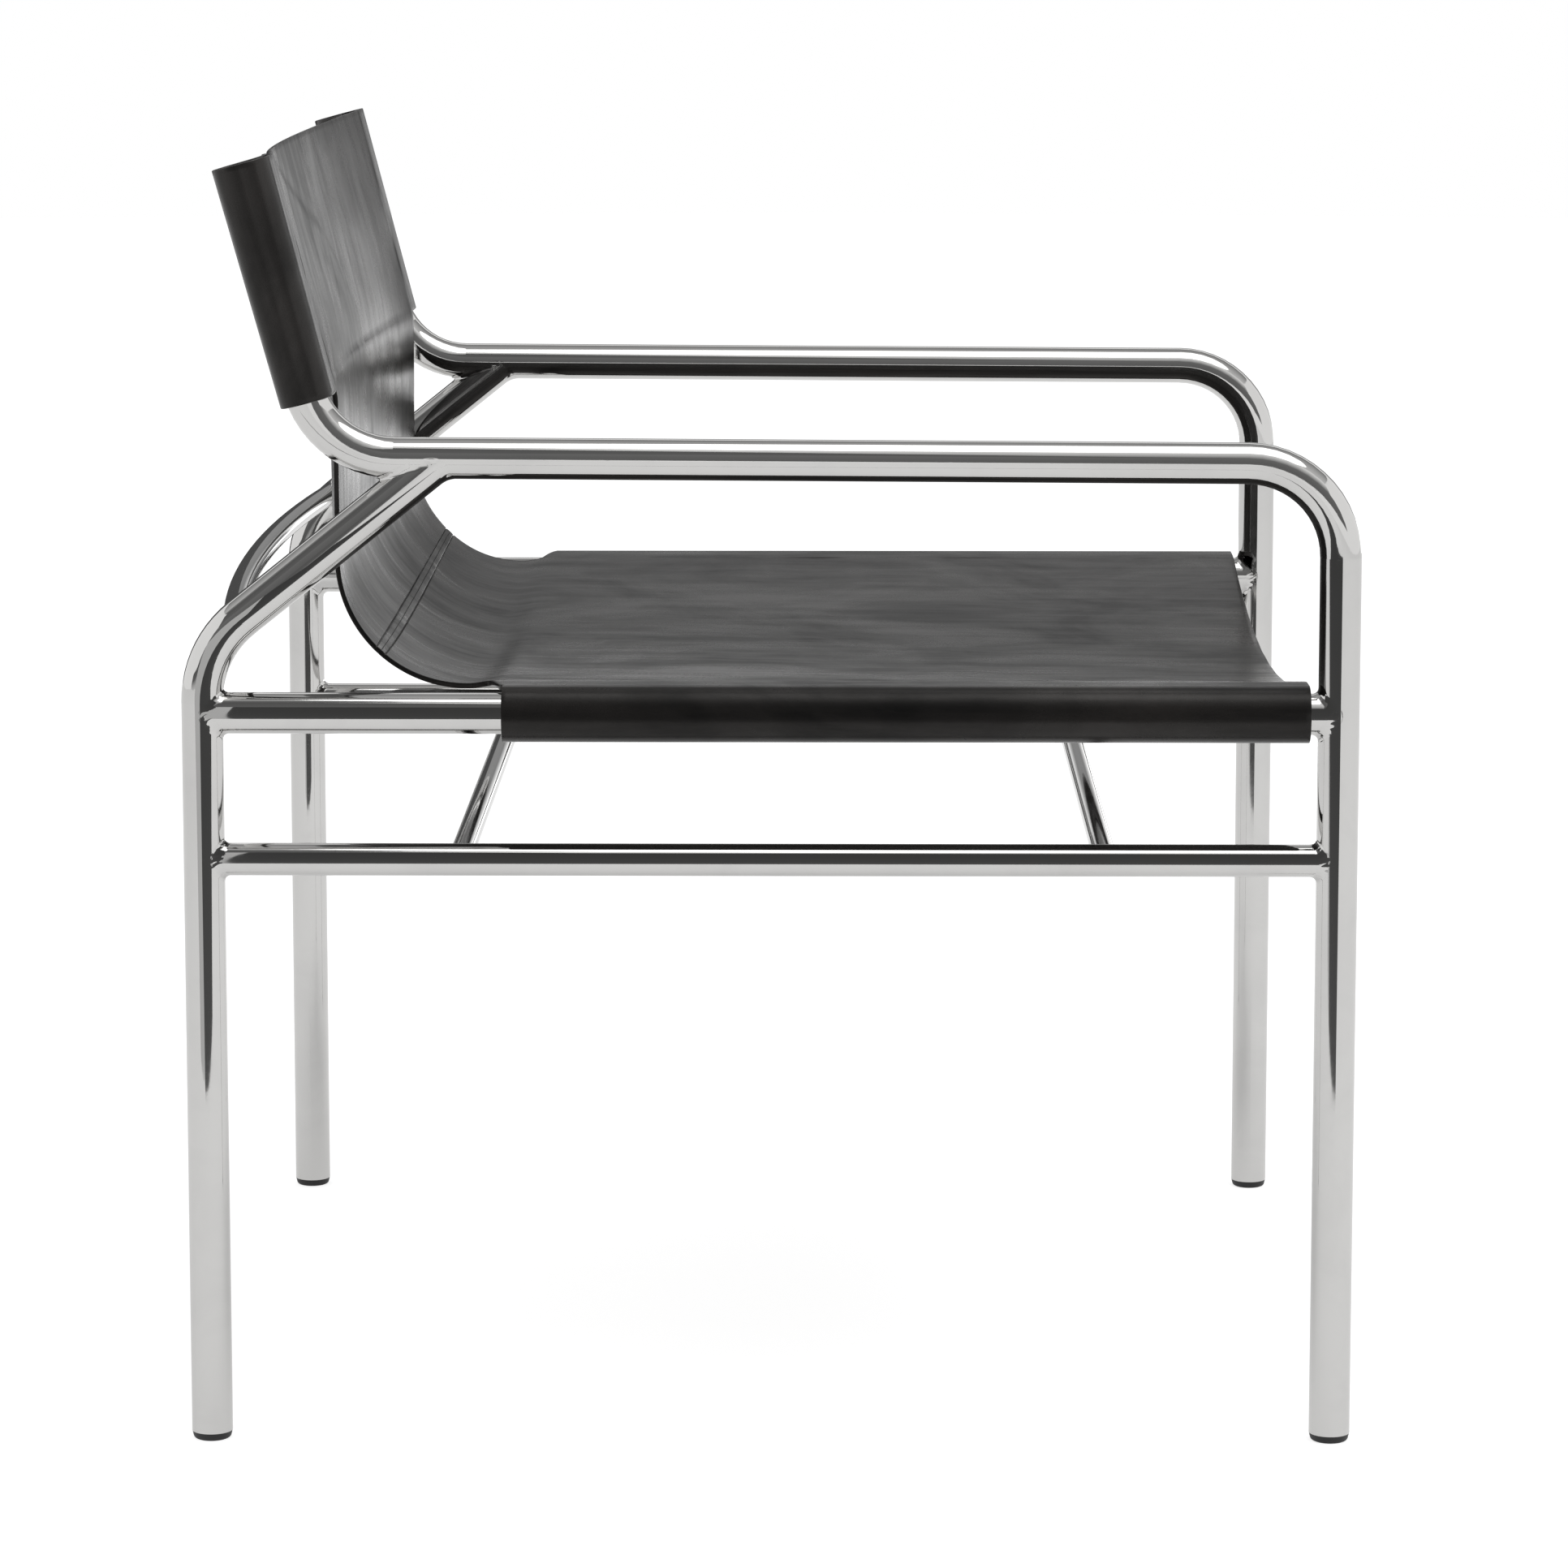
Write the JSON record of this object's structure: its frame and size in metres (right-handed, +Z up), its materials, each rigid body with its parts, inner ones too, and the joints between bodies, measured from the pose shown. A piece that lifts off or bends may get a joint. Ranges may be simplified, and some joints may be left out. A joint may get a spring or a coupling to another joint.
{
  "type": "lounge chair",
  "caption": "Low lounge armchair: welded chromed steel tube frame with a black leather sling that forms the back and the seat.",
  "frame": {"origin": "on the floor, midway between the four legs", "axes": "+Z up, -Y is the way the sitter faces, +X is the sitter's left"},
  "size_m": [0.7004, 0.7214, 0.7979],
  "materials": {
    "chromed_tube": "polished chrome plate",
    "black_leather": "thick saddle leather, satin, smooth grain",
    "black_plastic": "moulded, matte"
  },
  "bodies": {
    "root": {"left_arm_tube": "chromed_tube", "right_arm_tube": "chromed_tube", "left_rear_leg": "chromed_tube", "right_rear_leg": "chromed_tube", "left_seat_rail": "chromed_tube", "right_seat_rail": "chromed_tube", "left_stretcher": "chromed_tube", "right_stretcher": "chromed_tube", "front_cross_tube": "chromed_tube", "rear_cross_tube": "chromed_tube", "back_bow_tube": "chromed_tube", "front_left_glide": "black_plastic", "front_right_glide": "black_plastic", "rear_left_glide": "black_plastic", "rear_right_glide": "black_plastic", "left_post_cap": "black_plastic", "right_post_cap": "black_plastic", "back_leather": "black_leather", "seat_leather": "black_leather"}
  },
  "joints": []
}
